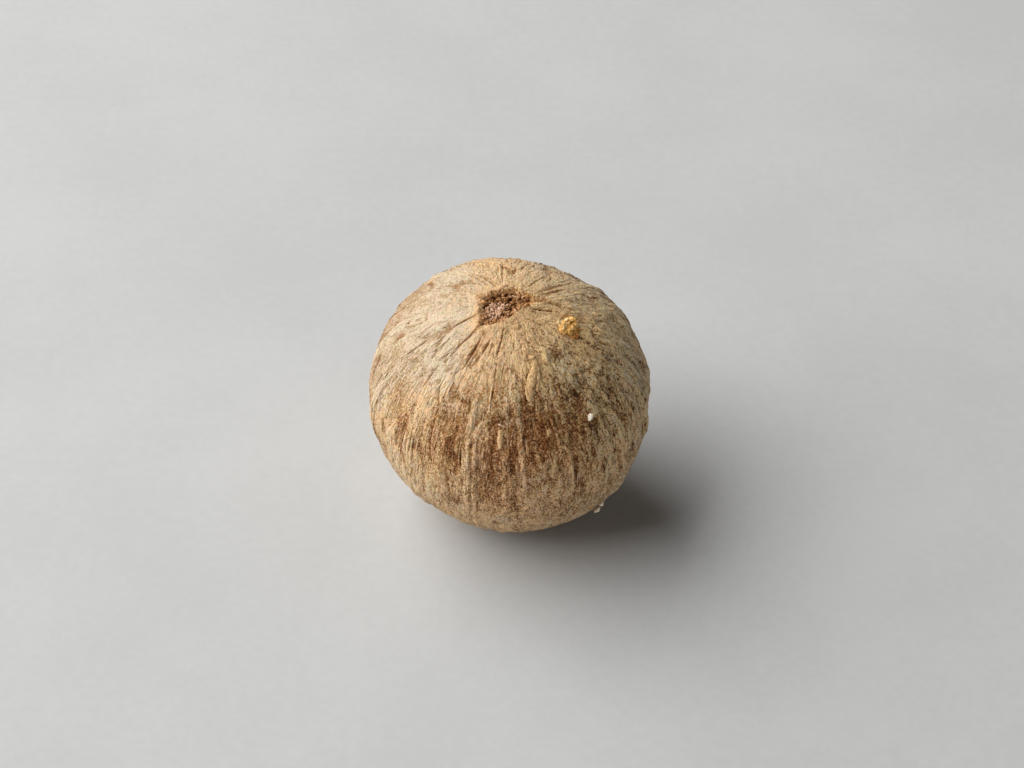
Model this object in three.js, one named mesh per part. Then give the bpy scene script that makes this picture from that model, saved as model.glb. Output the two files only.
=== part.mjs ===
// A single white peppercorn, 5 mm wide: the dried seed of a ripe pepper berry with its outer skin soaked off.
// Millimetres, +Z up. The origin is the middle of the small flat spot that the seed rests on.
// The scar at the seed's apex is on top and leans a little towards -Y.
import * as THREE from "three";

// Body: an egg-like ball that is fullest at its waist.
const WAIST_RADIUS = 2.49;
const APEX_HEIGHT = 2.42; // from the waist up to the apex
const TAIL_HEIGHT = 2.45; // from the waist down to the tail
const LEAN = 11; // degrees that the apex leans from upright, towards -Y
const REST_HEIGHT = 2.345; // from the resting surface up to the waist's centre

// Where the body stands out from the plain ball (rise above 0) or has dried in. Longitude is measured from +X
// towards +Y round the seed's own axis, latitude from its waist towards the apex, and spread is the half-width.
const LOBES = [
  { longitude: 65, latitude: 35, spread: 26, rise: -0.086 },
  { longitude: -129, latitude: -31, spread: 22, rise: -0.052 },
  { longitude: -41, latitude: -27, spread: 26, rise: 0.08 },
  { longitude: 151, latitude: 21, spread: 26, rise: 0.031 },
  { longitude: 100, latitude: -24, spread: 24, rise: -0.045 },
  { longitude: 20, latitude: -48, spread: 18, rise: -0.03 },
];

// Veins: pale ribs that run from apex to tail. The skin between them has dried in round the waist.
const VEIN_LONGITUDES = [-166, -137, -107, -85, -63, -37, -14, 10, 34, 58, 82, 105, 126, 149, 171];
const VEIN_HEIGHT = 0.016;
const VEIN_HALF_WIDTH = 3.6; // degrees of longitude
const HOLLOW_DEPTH = 0.014;

// Scar: a shallow crumbly pit at the apex, with a rounded lip. Angles are from the seed's axis.
const SCAR_ANGLE = 9.5;
const SCAR_UNEVENNESS = 0.16; // share of SCAR_ANGLE by which its outline comes and goes
const SCAR_DEPTH = 0.09;
const LIP_RISE = 0.03;
const LIP_WIDTH = 3.5;

// Folds: short creases that run out from the scar.
const FOLD_COUNT = 11;
const FOLD_DEPTH = 0.035;
const FOLD_REACH = 30; // angle from the axis at which they have faded out

// The mesh: columns round the axis, and rows from apex to tail that crowd towards both ends.
const COLUMNS = 90;
const ROWS = 42;
const CROWDING = 0.08;

const SKIN_COLOUR = 0xcdb48a;

const { degToRad, smoothstep } = THREE.MathUtils;

// A bell curve: 1 at the middle, 0.37 at one half-width.
const bell = (distance, halfWidth) => Math.exp(-((distance / halfWidth) ** 2));

// The shortest way round between two longitudes, in degrees.
const turnBetween = (a, b) => Math.abs(((a - b + 540) % 360) - 180);

// The unit vector at a longitude and a polar angle, both in radians.
const directionAt = (around, polar) =>
  new THREE.Vector3(Math.sin(polar) * Math.cos(around), Math.sin(polar) * Math.sin(around), Math.cos(polar));

// Radius of the smooth body in a direction: two half ellipsoids that meet at the waist, plus the lobes.
function bodyRadius(direction) {
  const end = direction.z > 0 ? APEX_HEIGHT : TAIL_HEIGHT;
  const across = Math.hypot(direction.x, direction.y) / WAIST_RADIUS;
  const ball = 1 / Math.hypot(across, direction.z / end);
  const lobes = LOBES.map(({ longitude, latitude, spread, rise }) => {
    const towards = directionAt(degToRad(longitude), degToRad(90 - latitude)).dot(direction);
    return rise * Math.exp((towards - 1) / (1 - Math.cos(degToRad(spread))));
  });
  return lobes.reduce((sum, lobe) => sum + lobe, ball);
}

// Height of the ribs and of the skin between them, strongest round the waist.
function veinRelief(longitude, polar) {
  const nearest = Math.min(...VEIN_LONGITUDES.map((vein) => turnBetween(longitude, vein)));
  const waist = Math.sin(degToRad(polar)) ** 2;
  const rib = bell(nearest, VEIN_HALF_WIDTH);
  return waist * (VEIN_HEIGHT * rib - HOLLOW_DEPTH * (1 - rib));
}

// The pit at the apex and the lip round it, on an outline that three waves make uneven.
function scarRelief(longitude, polar) {
  const turn = degToRad(longitude);
  const waves = 0.5 * Math.cos(2 * turn + 0.7) + 0.3 * Math.cos(3 * turn - 0.4) + 0.2 * Math.cos(5 * turn + 1.1);
  const edge = SCAR_ANGLE * (1 + SCAR_UNEVENNESS * waves);
  const pit = 1 - smoothstep(polar, 0.55 * edge, edge);
  return LIP_RISE * bell(polar - edge, LIP_WIDTH) * (1 - pit) - SCAR_DEPTH * pit;
}

// Creases that start at the lip and fade as they run out.
function foldRelief(longitude, polar) {
  const crease = (0.5 + 0.5 * Math.cos(degToRad(longitude) * FOLD_COUNT + 0.9)) ** 3;
  const along = smoothstep(polar, 0.8 * SCAR_ANGLE, 1.4 * SCAR_ANGLE) *
    (1 - smoothstep(polar, 1.4 * SCAR_ANGLE, FOLD_REACH));
  return -FOLD_DEPTH * crease * along;
}

// Moves each vertex of a unit ball, whose axis is Z, out to the seed's surface.
function shapeSeed(ball) {
  const position = ball.getAttribute("position");
  const direction = new THREE.Vector3();
  for (let i = 0; i < position.count; i++) {
    direction.fromBufferAttribute(position, i);
    const step = Math.acos(THREE.MathUtils.clamp(direction.z, -1, 1)) / Math.PI;
    const polar = 180 * (step - CROWDING * Math.sin(2 * Math.PI * step));
    const around = Math.atan2(direction.y, direction.x);
    const longitude = THREE.MathUtils.radToDeg(around);
    direction.copy(directionAt(around, degToRad(polar)));
    const relief = veinRelief(longitude, polar) + scarRelief(longitude, polar) + foldRelief(longitude, polar);
    direction.multiplyScalar(bodyRadius(direction) + relief);
    position.setXYZ(i, direction.x, direction.y, direction.z);
  }
}

// Presses what lies under the resting surface flat against it.
function settle(seed) {
  const position = seed.getAttribute("position");
  for (let i = 0; i < position.count; i++) position.setZ(i, Math.max(0, position.getZ(i)));
}

function peppercornGeometry() {
  const seed = new THREE.SphereGeometry(1, COLUMNS, ROWS).rotateX(Math.PI / 2);
  shapeSeed(seed);
  seed.rotateX(degToRad(LEAN)).translate(0, 0, REST_HEIGHT);
  settle(seed);
  seed.computeVertexNormals();
  return seed;
}

const skin = new THREE.MeshStandardMaterial({ color: SKIN_COLOUR, roughness: 0.85, metalness: 0 });

const peppercorn = new THREE.Mesh(peppercornGeometry(), skin);
peppercorn.name = "peppercorn";

const part = new THREE.Group();
part.add(peppercorn);

export default part;
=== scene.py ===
# A whole white peppercorn with the crumbs that cling to it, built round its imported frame.
# Shapes are drawn in millimetres of the seed and made in metres. A bearing is measured in degrees round
# the seed's own axis from its front (-Y) towards +X, and a polar angle in degrees from its apex.
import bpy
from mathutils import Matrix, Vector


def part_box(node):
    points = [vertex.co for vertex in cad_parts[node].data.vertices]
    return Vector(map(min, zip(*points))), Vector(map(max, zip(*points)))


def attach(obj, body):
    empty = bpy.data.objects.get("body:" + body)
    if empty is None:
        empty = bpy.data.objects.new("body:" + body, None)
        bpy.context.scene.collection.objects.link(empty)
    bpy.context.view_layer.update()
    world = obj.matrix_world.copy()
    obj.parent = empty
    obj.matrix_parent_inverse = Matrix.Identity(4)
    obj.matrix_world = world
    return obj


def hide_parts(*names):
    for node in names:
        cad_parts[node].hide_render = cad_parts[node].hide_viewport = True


bl_info = {
    "name": "White peppercorn",
    "version": (1, 0, 0),
    "blender": (4, 5, 0),
    "location": "3D View > Sidebar > Peppercorn",
    "description": "Makes a dried white peppercorn with its scar, its clinging crumbs and a plain stage",
    "category": "Add Mesh",
}

import itertools
import math
from types import SimpleNamespace

import bpy
import numpy as np
from mathutils import Vector

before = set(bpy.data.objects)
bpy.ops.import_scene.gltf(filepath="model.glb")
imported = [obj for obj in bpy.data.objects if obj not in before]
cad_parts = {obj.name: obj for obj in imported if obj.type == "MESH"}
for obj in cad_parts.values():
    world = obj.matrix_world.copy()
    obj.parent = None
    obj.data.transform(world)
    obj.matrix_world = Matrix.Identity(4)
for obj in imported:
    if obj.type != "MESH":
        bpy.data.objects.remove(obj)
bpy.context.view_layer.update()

# ---------------------------------------------------------------- the seed's driving sizes

LOWEST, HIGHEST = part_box("peppercorn")
DRAWN_HEIGHT = 4.79  # mm: the seed's height as drawn here
MM = (HIGHEST.z - LOWEST.z) / DRAWN_HEIGHT  # metres in a drawn millimetre
MIDDLE = Vector(((LOWEST.x + HIGHEST.x) / 2, (LOWEST.y + HIGHEST.y) / 2, LOWEST.z))

WAIST_RADIUS = 2.49
APEX_HEIGHT = 2.42  # from the waist up to the apex
TAIL_HEIGHT = 2.45  # from the waist down to the tail
LEAN = 11  # degrees that the apex leans from upright, towards -Y
REST_HEIGHT = 2.345  # from the resting surface up to the waist's centre

# Where the body stands out from the plain ball or has dried in: bearing, polar angle and half-width in
# degrees, and rise in mm.
LOBES = [
    (155, 55, 26, -0.086),
    (-39, 121, 22, -0.052),
    (49, 117, 26, 0.08),
    (241, 69, 26, 0.031),
    (190, 114, 24, -0.045),
    (110, 138, 18, -0.03),
]

# Pale ribs: bearing, polar angles at which they begin and end, height in mm, half-width in degrees at the
# waist, and how far they drift round on the way down.
RIBS = [
    (-76, 52, 140, 0.014, 2.6, -3),
    (-47, 48, 150, 0.020, 3.4, 2),
    (-19.2, 40, 128, 0.018, 1.5, 3),
    (-15.2, 46, 118, 0.016, 1.2, 2),
    (4.4, 36, 92, 0.020, 2.3, 4),
    (24, 44, 92, 0.012, 1.6, 5),
    (53, 28, 130, 0.012, 2.4, 1),
    (76, 30, 135, 0.011, 2.4, 3),
    (98, 40, 150, 0.013, 2.6, -2),
    (117, 52, 126, 0.012, 1.7, 5),
    (131, 44, 148, 0.014, 2.8, -3),
    (158, 50, 136, 0.013, 2.0, 3),
    (177, 46, 152, 0.015, 3.0, -2),
    (190, 54, 110, 0.012, 1.6, 6),
    (220, 42, 140, 0.013, 2.6, -4),
    (235, 50, 150, 0.012, 1.8, 3),
    (262, 44, 142, 0.014, 2.4, 2),
]
RIB_FOOT_DEPTH = 0.006  # mm: how far the skin dips along both sides of a rib
HOLLOW_DEPTH = 0.006  # mm: between the ribs, at the waist

# Dark creases, sunk into the skin and darkened in colour, partly as painted shade: bearing and polar angle
# at the upper end, the same at the lower end, then depth and half-width in mm.
CREASES = [
    ((-9.9, 11), (-13.8, 24), 0.035, 0.015),
    ((-12.2, 26), (-12.6, 41), 0.032, 0.013),
    ((-53, 14), (-50, 34), 0.038, 0.014),
    ((-50, 17), (-54.6, 36), 0.032, 0.013),
    ((-52, 38), (-51.6, 49), 0.043, 0.014),
    ((-75.8, 13), (-73.6, 26), 0.043, 0.016),
    ((-64, 28), (-60, 38), 0.030, 0.013),
    ((-77, 36), (-77.7, 48), 0.043, 0.014),
    ((-78.2, 54), (-76.4, 73), 0.032, 0.013),
    ((-38.9, 16), (-35.4, 31), 0.041, 0.018),
    ((-25.9, 17), (-30.2, 29), 0.041, 0.016),
    ((-21.9, 60), (-20.6, 73), 0.033, 0.013),
    ((128.5, 14), (132, 38), 0.032, 0.030),
    ((109.3, 12), (98, 24), 0.032, 0.028),
    ((98, 24), (94, 33), 0.024, 0.024),
    ((121.7, 15), (124.1, 28), 0.028, 0.028),
    ((88, 9), (90, 21), 0.030, 0.016),
    ((177, 22), (177, 28.5), 0.026, 0.022),
    ((172.4, 27), (170.6, 31), 0.030, 0.034),
    ((150, 14), (146, 30), 0.024, 0.013),
    ((-146, 16), (-143, 30), 0.024, 0.013),
    ((-168, 14), (-172, 32), 0.028, 0.013),
    ((14.0, 29), (9.0, 42), 0.060, 0.026),
    ((205, 12), (214, 30), 0.033, 0.014),
]

# Worn zones, where the pale coat has come off the brown layer: bearing, polar angle, half-width and
# half-length in degrees, and strength.
WORN_ZONES = [
    (-61, 64, 13, 18, 0.40),
    (-65, 82, 6, 8, 0.56),
    (-56, 48, 5, 5, 0.36),
    (-34, 59, 9, 20, 0.52),
    (-24, 59, 5, 22, 0.66),
    (-25, 91, 6, 12, 0.54),
    (-19, 41, 7, 6, 0.36),
    (-7.5, 60, 6, 20, 0.86),
    (1, 63, 4.5, 25, 0.94),
    (9, 60, 4.5, 24, 0.92),
    (16, 55, 4.5, 20, 1.0),
    (17, 42, 3.5, 5, 0.85),
    (24, 60, 5, 17, 0.92),
    (31.5, 54, 4.5, 17, 0.98),
    (38.5, 49, 4.5, 11, 0.94),
    (36, 62, 8.5, 12, 0.84),
    (43.5, 27, 6.5, 7, 0.62),
    (-8, 39, 4, 4, 0.34),
    (-15, 72, 4, 8, 0.70),
    (10.5, 43, 6, 6, 0.68),
    (-36, 26, 5, 6, 0.36),
    (47, 43, 5, 6, 0.50),
    (50, 38, 27, 5, 0.30),
    (55, 24, 4, 3.5, 0.28),
    (54, 12, 10, 4, 0.22),
    (57, 62, 7.5, 18, 0.56),
    (64.5, 51, 6, 6, 0.52),
    (-2, 80, 16, 13, 0.66),
    (18, 77, 9, 10, 0.60),
    (13, 82, 7, 7, 0.50),
    (47, 51, 5, 7, 0.50),
    (72, 33, 6, 4, 0.18),
    (-68, 46, 9, 12, 0.26),
]

# Kept zones, where more of the pale coat is left or, below 0, less, in the same terms. Two of them are
# painted light and shade, as noted at them.
KEPT_ZONES = [
    (79, 62, 13, 28, 0.40),
    (74, 48, 8, 8, 0.34),
    (60, 29, 8, 6, 0.34),
    (40, 35, 4, 4, 0.12),
    (-55, 84, 8, 13, 0.30),
    (-60, 66, 14, 14, 0.06),
    (-46, 44, 8, 12, 0.16),
    (-66, 24, 18, 14, 0.05),
    (-43, 92, 11, 12, 0.36),
    (-4, 104, 20, 9, 0.36),
    (36, 90, 13, 8, 0.24),
    (49, 80, 5.5, 12, 0.36),
    (73, 76, 6, 14, 0.42),
    (-78, 68, 7, 8, 0.09),
    (24, 45, 5, 6, 0.08),
    (-4, 28, 13, 8, 0.35),
    (30, 19, 17, 7, 0.50),
    (-34, 42, 5, 6, 0.20),
    (20, 26, 22, 9, 0.13),
    # Paler round and below the amber crumb, to lift its cast shadow: painted light.
    (72, 28, 16, 9, 0.30),
    (-42, 60, 5, 16, 0.10),
    (-32, 67, 4, 6, 0.10),
    (-82, 28, 14, 14, 0.08),
    (110, 48, 24, 22, 0.30),
    # Darker on the upper-left flank, which faces the window lamp, to hold back its light there: painted
    # shade.
    (-112, 40, 16, 20, -0.12),
    (-98, 52, 10, 18, 0.14),
]

# Bearings round which the worn zones of the back lie, and the seed of their sizes and shifts.
BACK_ZONE_BEARINGS = (96, 112, 127, 140, 156, 172, 186, 204, 220, 236, 252, 270)
BACK_ZONE_SEED = 11

# Where the texture is rougher or, below 0, smoother: bearing, polar angle, spread in degrees, and amount.
ROUGH_SPOTS = [
    (-65, 30, 38, -0.50),
    (0, 24, 22, -0.12),
    (64, 48, 36, 0.42),
    (70, 80, 35, 0.30),
    (125, 40, 28, -0.45),
    (0, 98, 38, 0.55),
    (-160, 35, 35, -0.30),
    (170, 95, 50, 0.20),
    (-50, 74, 24, 0.42),
    (72, 28, 20, 0.28),
    (28, 54, 14, -0.28),
    (40, 100, 16, -0.18),
]

# Where fibres stand out as strings, in the same terms. Besides their relief, their light and dark streaks
# in the colour stand partly for their shading, as painted light and shade.
STRINGY_SPOTS = [
    (68, 54, 36, 0.95),
    (118, 80, 34, 0.5),
    (-60, 30, 40, 0.35),
    (-15, 28, 16, 0.4),
    (60, 90, 25, 0.5),
    (-52, 72, 24, -0.75),
]

# Where the skin is flushed, in the same terms: pinkish above 0 and olive below it.
FLUSHED_SPOTS = [
    (72, 50, 36, -1.0),
    (35, 42, 12, -0.5),
    (5, 62, 9, 0.9),
    (-9, 62, 8, 0.7),
    (17, 55, 8, 0.7),
    (-40, 60, 14, 0.2),
    (-28, 26, 18, 0.4),
    (-95, 30, 26, 0.25),
    (2, 88, 22, 0.60),
]

# Tinted spots: bearing, polar angle, spread in degrees, and tint from -1, grey, to 1, orange.
TINTS = [
    (-57, 66, 10, 0.15),
    (-84, 66, 14, -0.50),
    (0, 0, 15, 0.45),
    (-15, 32, 12, 0.30),
    (26, 30, 5, 0.6),
    (66, 58, 16, -0.20),
    (-38, 56, 12, 0.14),
    (-66, 82, 8, 0.05),
    (-95, 28, 10, 0.3),
    (23, 23, 4, 0.6),
    (17, 33, 6, 0.5),
    (18.8, 56, 3, 0.6),
    (27, 69, 5, 0.4),
    (104, 10, 9, 0.6),
    (-168, 33, 12, 0.5),
    (-134, 50, 6, 0.2),
    (2, 62, 14, 0.36),
    (20, 62, 10, 0.20),
    (-56, 92, 10, -0.25),
    (-10, 92, 18, 0.40),
    (-36, 110, 14, 0.25),
    (-70, 12, 6, 0.4),
    (68, 29, 9, 0.40),
    (38, 44, 8, -0.35),
    (42, 31, 7, -0.4),
    (-3, 100, 5, -0.5),
    (-73, 73, 4, -0.6),
    (45, 79, 6, -0.1),
    (46, 82, 14, 0.25),
    (-82, 42, 5, -0.5),
    # Greyer on the upper-left flank that faces the window lamp, standing in for its soft sheen: painted
    # sheen.
    (-88, 40, 26, -0.60),
    (-132, 48, 18, -0.45),
    (-74, 30, 17, -0.50),
    (-42, 22, 10, 0.38),
]

# The scar's two overlapping outlines, clockwise from above, in mm to the right (+X) and to the back of the
# apex, and its depth.
SCAR_OUTLINES = [
    [(-0.47, 0.25), (-0.13, 0.37), (0.10, 0.40), (0.28, 0.30), (0.25, 0.06), (0.19, -0.07), (-0.07, -0.25),
     (-0.28, -0.34), (-0.48, -0.33)],
    [(0.08, 0.39), (0.52, 0.19), (0.10, -0.08)],
]
SCAR_DEPTH = 0.10
LIP_RISE = 0.035  # mm: the scar's lip above the skin
RUBBLE_RISE = 0.03  # mm: the unevenness of the scar's floor

# Raised golden strands of dried resin: the bearings and polar angles they run through, half-width and
# height in mm, and how golden they are.
GOLD_STRANDS = [
    ([(25.0, 25.4), (21.6, 29.4), (18.0, 33.0), (14.8, 36.6), (13.0, 39.6), (12.4, 42.4)],
     0.068, 0.050, 0.80),
    ([(19.6, 29.6), (15.6, 32.4), (12.6, 35.6), (11.2, 40.4)], 0.034, 0.046, 0.35),
    ([(25.4, 27.4), (22.2, 32.8), (18.2, 39.0)], 0.032, 0.036, 0.95),
    ([(21.6, 26.4), (26.4, 27.6), (33.0, 29.6)], 0.026, 0.020, 0.9),
    ([(18.0, 20.0), (22.6, 24.0), (24.4, 28.6)], 0.040, 0.028, 0.6),
    ([(-3.9, 52.6), (-4.2, 56.5), (-4.0, 60.8)], 0.062, 0.050, 0.85),
    ([(27.2, 64.0), (26.9, 68.0), (26.4, 73.0)], 0.046, 0.022, 0.8),
    ([(18.9, 54.2), (19.6, 55.6), (18.5, 58.0)], 0.026, 0.016, 1.0),
    ([(-165, 33), (-172, 33.5)], 0.050, 0.022, 0.8),
    ([(-134, 48), (-131, 54)], 0.050, 0.022, 0.8),
    ([(-67.5, 73), (-66, 79), (-65, 85)], 0.042, 0.024, 0.7),
    ([(92, 9.0), (108, 10.5), (124, 12)], 0.036, 0.020, 0.8),
    ([(18, 9.3), (24, 11.4)], 0.044, 0.022, 0.8),
    ([(4.2, 56.6), (4.9, 60.0), (5.6, 63.4)], 0.030, 0.020, 0.5),
    ([(8.0, 57.0), (8.4, 60.5), (8.2, 64.0)], 0.026, 0.018, 0.5),
]

# Heaps of the amber crumb: bearing, polar angle, then in mm the height above the skin, half-width,
# half-length and height of the heap, then how many lumps it has and how much brighter they are.
AMBER_HEAPS = [
    (76, 25.8, -0.02, 0.200, 0.165, 0.105, 210, -0.04),
    (69, 24.4, -0.02, 0.100, 0.090, 0.095, 44, 0.10),
    (84, 26.4, -0.02, 0.095, 0.085, 0.080, 40, 0.05),
    (81, 28.6, -0.02, 0.085, 0.085, 0.070, 38, 0.26),
    (74, 22.1, -0.02, 0.055, 0.060, 0.065, 20, 0.34),
    (73.5, 29.4, -0.02, 0.155, 0.062, 0.045, 80, -0.36),
]

# The pale crumbs, of which the last two are one thin flake: the same, but without the heap's height, which
# is the smaller of its half-width and half-length.
PALE_CRUMBS = [
    (41.2, 56.8, 0.03, 0.056, 0.060, 24, 0.0),
    (43.05, 111.5, 0.017, 0.052, 0.060, 22, -0.20),
    (40.8, 113.2, 0.049, 0.046, 0.066, 22, -0.10),
    (-4.7, 50.5, 0.024, 0.036, 0.012, 10, -0.60),
    (-3.1, 51.1, 0.024, 0.036, 0.012, 10, -0.55),
]

# Noises of the skin: cells round the waist, stretch down the seed, how far they keep their width towards
# the apex (see along_fibres), seed, and how many layers, each finer than the last.
NOISES = {
    "broad wander": (11, 1.0, 1.0, 21, 1),
    "fine wander": (40, 1.4, 1.0, 22, 1),
    "strands": (90, 7.0, 0.6, 31, 2),
    "grains": (230, 2.4, 0.75, 41, 2),
    "gaps": (74, 11.0, 0.6, 51, 1),
    "gap clumps": (40, 3.0, 0.9, 52, 1),
    "broken ribs": (44, 1.5, 0.9, 55, 1),
    "ragged wear": (64, 3.2, 0.8, 61, 3),
    "wear clouds": (18, 1.8, 0.9, 62, 2),
    "pores": (95, 1.5, 0.95, 71, 1),
    "scar edge": (70, 1.0, 1.0, 81, 3),
    "rubble": (150, 1.0, 1.0, 83, 2),
    "tint": (16, 1.6, 0.9, 91, 3),
}
# The first three of these, for the places on which the finish draws its grains and its strands.
GRAIN_PLACES = (150, 2.8, 0.75)
STRAND_PLACES = (100, 7.0, 0.6)

GAP_DEPTH = 0.017  # mm: between fibres
RELIEF_SPAN = 0.08  # mm: from the lowest to the highest relief that the finish tells apart
# The colour of a crease darkens with its depth, partly as painted shade.
DARK_CREASE = 0.04  # mm: how deep a crease is where it is fully dark

# Seeds of the random draws.
FIBRE_SEED = 301
SCAR_SEED = 302
CRUMB_SEED = 303
RIB_STRAND_SEED = 305

# The mesh: columns round the axis, and rings from apex to tail that crowd a little towards the apex.
COLUMNS = 720
RINGS = 137
CROWDING = 1.22

# The lamps: the direction each one shines from, and its two sides as shares of its distance. The window is
# to the left and a little behind, the fill low on the right of the camera, and the rim behind the seed's
# right side.
LAMPS = {
    "window": ((-0.72, 0.19, 0.67), (1.75, 1.15)),
    "fill": ((0.45, -0.86, 0.24), (1.4, 0.5)),
    "rim": ((0.76, 0.58, 0.30), (0.8, 0.5)),
}
ROOM_LIGHT = (0.94, 0.97, 1.0, 1)
# How far the camera is moved to the right and upwards from looking at the middle of the waist, in mm.
AIM_RIGHT, AIM_UP = 0.046, 0.15


# ---------------------------------------------------------------- settings

def length(name, description, millimetres):
    """A length that a user may change, given in millimetres and kept in metres."""
    return bpy.props.FloatProperty(
        name=name, description=description, default=millimetres * MM, min=0.0, unit="LENGTH", precision=6
    )


def stage_length(name, description, metres):
    """A length of the stage that a user may change."""
    return bpy.props.FloatProperty(
        name=name, description=description, default=metres, min=0.001, unit="LENGTH", precision=4
    )


def number(name, description, default):
    """How many of something there are, which a user may change."""
    return bpy.props.IntProperty(name=name, description=description, default=default, min=1)


def power(name, description, watts):
    """The power of a lamp, which a user may change."""
    return bpy.props.FloatProperty(name=name, description=description, default=watts, min=0.0, unit="POWER")


def colour(name, description, red, green, blue):
    """A colour that a user may change, in scene linear red, green and blue."""
    return bpy.props.FloatVectorProperty(
        name=name, description=description, default=(red, green, blue), min=0.0, max=1.0, subtype="COLOR"
    )


class SeedSettings(bpy.types.PropertyGroup):
    """Sizes and colours of the peppercorn's skin."""

    strand_relief: length("Strand relief", "How far the fibre strands stand up", 0.0145)
    grain_relief: length("Grain relief", "How far the fine grains stand up", 0.0115)
    wear_depth: length("Wear depth", "How far the worn zones lie below the coat", 0.016)
    pore_depth: length("Pore depth", "Depth of the small pores round the scar", 0.016)
    fine_bump: length("Fine bump", "Height of the finest bumps, which the shader adds", 0.040)
    granule: length("Granule", "Width of the round granules of the under layer", 0.046)
    pale: colour("Pale", "Raised fibres and grains", 0.937, 0.728, 0.48)
    tan: colour("Tan", "Most of the coat", 0.665, 0.433, 0.240)
    golden: colour("Golden brown", "Where the coat is thin", 0.470, 0.248, 0.100)
    brown: colour("Brown", "Where the coat is gone", 0.275, 0.103, 0.027)
    dark: colour("Dark", "Pits, slits and creases", 0.095, 0.028, 0.006)
    cool_tint: colour("Cool tint", "Multiplies the colour where the coat is greyish", 0.86, 0.93, 1.0)
    warm_tint: colour("Warm tint", "Multiplies the colour where it is golden", 1.0, 0.90, 0.72)
    green_tint: colour("Green tint", "Multiplies the colour in some blotches", 0.965, 1.0, 0.93)
    pink_tint: colour("Pink tint", "Multiplies the colour in the others", 1.0, 0.945, 0.965)
    gold: colour("Gold", "Dried resin", 0.86, 0.55, 0.245)


class FibreSettings(bpy.types.PropertyGroup):
    """Sizes of the strands and fibres that stand clear of the coat."""

    count: number("Fibres", "How many fibres lie on the coat", 1100)
    longest: length("Longest", "Length of the longest fibres", 0.80)
    width: length("Width", "Width of the widest fibres", 0.036)
    rib_strands: number("Rib strands", "How many strands lie side by side on a rib", 3)
    strand_width: length("Strand width", "Width of the strands on the ribs", 0.090)


class ScarSettings(bpy.types.PropertyGroup):
    """Sizes and colours of the crumbly scar."""

    shreds: number("Shreds", "How many shreds fill the scar", 110)
    longest: length("Longest", "Length of the longest shreds", 0.13)
    width: length("Width", "Width of the widest shreds", 0.080)
    dark: colour("Dark", "Deepest shreds", 0.110, 0.040, 0.008)
    brown: colour("Brown", "Most of the shreds", 0.38, 0.175, 0.055)
    pink: colour("Pink", "Brightest shreds", 0.74, 0.50, 0.36)
    rust: colour("Rust", "Shreds along the scar's rim", 0.56, 0.27, 0.095)
    bits: number("Bits", "How many crumbly bits lie among the shreds", 620)


class CrumbSettings(bpy.types.PropertyGroup):
    """Sizes and colours of the crumbs that cling to the seed."""

    amber_lump: length("Amber lumps", "Half the width of the amber crumb's largest lumps", 0.042)
    amber: colour("Amber", "Body of the amber crumb", 0.88, 0.47, 0.11)
    amber_pale: colour("Amber, pale", "Its brightest lumps", 0.90, 0.64, 0.33)
    amber_deep: colour("Amber, deep", "Its darkest lumps", 0.60, 0.21, 0.05)
    white: colour("White", "The pale crumbs", 0.98, 0.90, 0.73)


class StageSettings(bpy.types.PropertyGroup):
    """The floor, the lights and the camera."""

    floor_width: stage_length("Floor width", "Side of the square floor", 0.4)
    floor_colour: colour("Floor colour", "The floor's paler shade", 0.506, 0.508, 0.501)
    camera_height: bpy.props.FloatProperty(
        name="Camera height", description="How far above level the camera looks from",
        default=math.radians(41), subtype="ANGLE",
    )
    camera_distance: stage_length("Camera distance", "From the lens to the seed's waist", 0.0508)
    lens: bpy.props.FloatProperty(name="Lens", description="Focal length in millimetres", default=100)
    lamp_distance: stage_length("Lamp distance", "From each lamp to the seed", 0.15)
    window_power: power("Window power", "Power of the window-like lamp", 0.63)
    fill_power: power("Fill power", "Power of the low, weak lamp on the other side", 0.045)
    rim_power: power("Rim power", "Power of the weak lamp behind the seed's right side", 0.012)
    ambient: bpy.props.FloatProperty(
        name="Ambient", description="Strength of the light from all round", default=0.010, min=0.0
    )


# ---------------------------------------------------------------- formulas shared by the shapes

def bell(distance, half_width):
    """A bell curve: 1 at the middle, 0.37 at one half-width."""
    return np.exp(-((distance / half_width) ** 2))


def smoothstep(value, low, high):
    """0 up to low, 1 from high on, and a cubic with level ends between them."""
    part = np.clip((value - low) / (high - low), 0, 1)
    return part * part * (3 - 2 * part)


def turn_between(first, second):
    """The shortest way round between two bearings, in degrees."""
    return np.abs((first - second + 540) % 360 - 180)


def direction(bearing, polar):
    """The unit vector at a bearing and a polar angle: the front is -Y, and the apex is +Z."""
    around, down = np.radians(bearing), np.radians(polar)
    return np.stack([np.sin(down) * np.sin(around), -np.sin(down) * np.cos(around), np.cos(down)], -1)


def unit(vectors):
    """Vectors of length 1."""
    return vectors / np.linalg.norm(vectors, axis=-1, keepdims=True)


def lattice_noise(points, seed):
    """Smooth noise from -1 to 1: a random value at each whole-number point, with a cubic blend between."""
    table = np.random.default_rng(seed).uniform(-1, 1, (64, 64, 64))
    cell = np.floor(points).astype(int)
    part = points - cell
    blend = part * part * (3 - 2 * part)
    total = 0
    for corner in itertools.product((0, 1), repeat=3):
        share = np.prod(np.where(corner, blend, 1 - blend), axis=-1)
        at = (cell + corner) % 64
        total = total + share * table[at[..., 0], at[..., 1], at[..., 2]]
    return total


def fractal_noise(points, seed, layers):
    """A sum of lattice noises, each twice as fine and half as strong as the last, from about -1 to 1."""
    noises = [lattice_noise(points * 2**n, seed + n) / 2**n for n in range(layers)]
    return sum(noises) * 1.4 / sum(1 / 2**n for n in range(layers))


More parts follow.
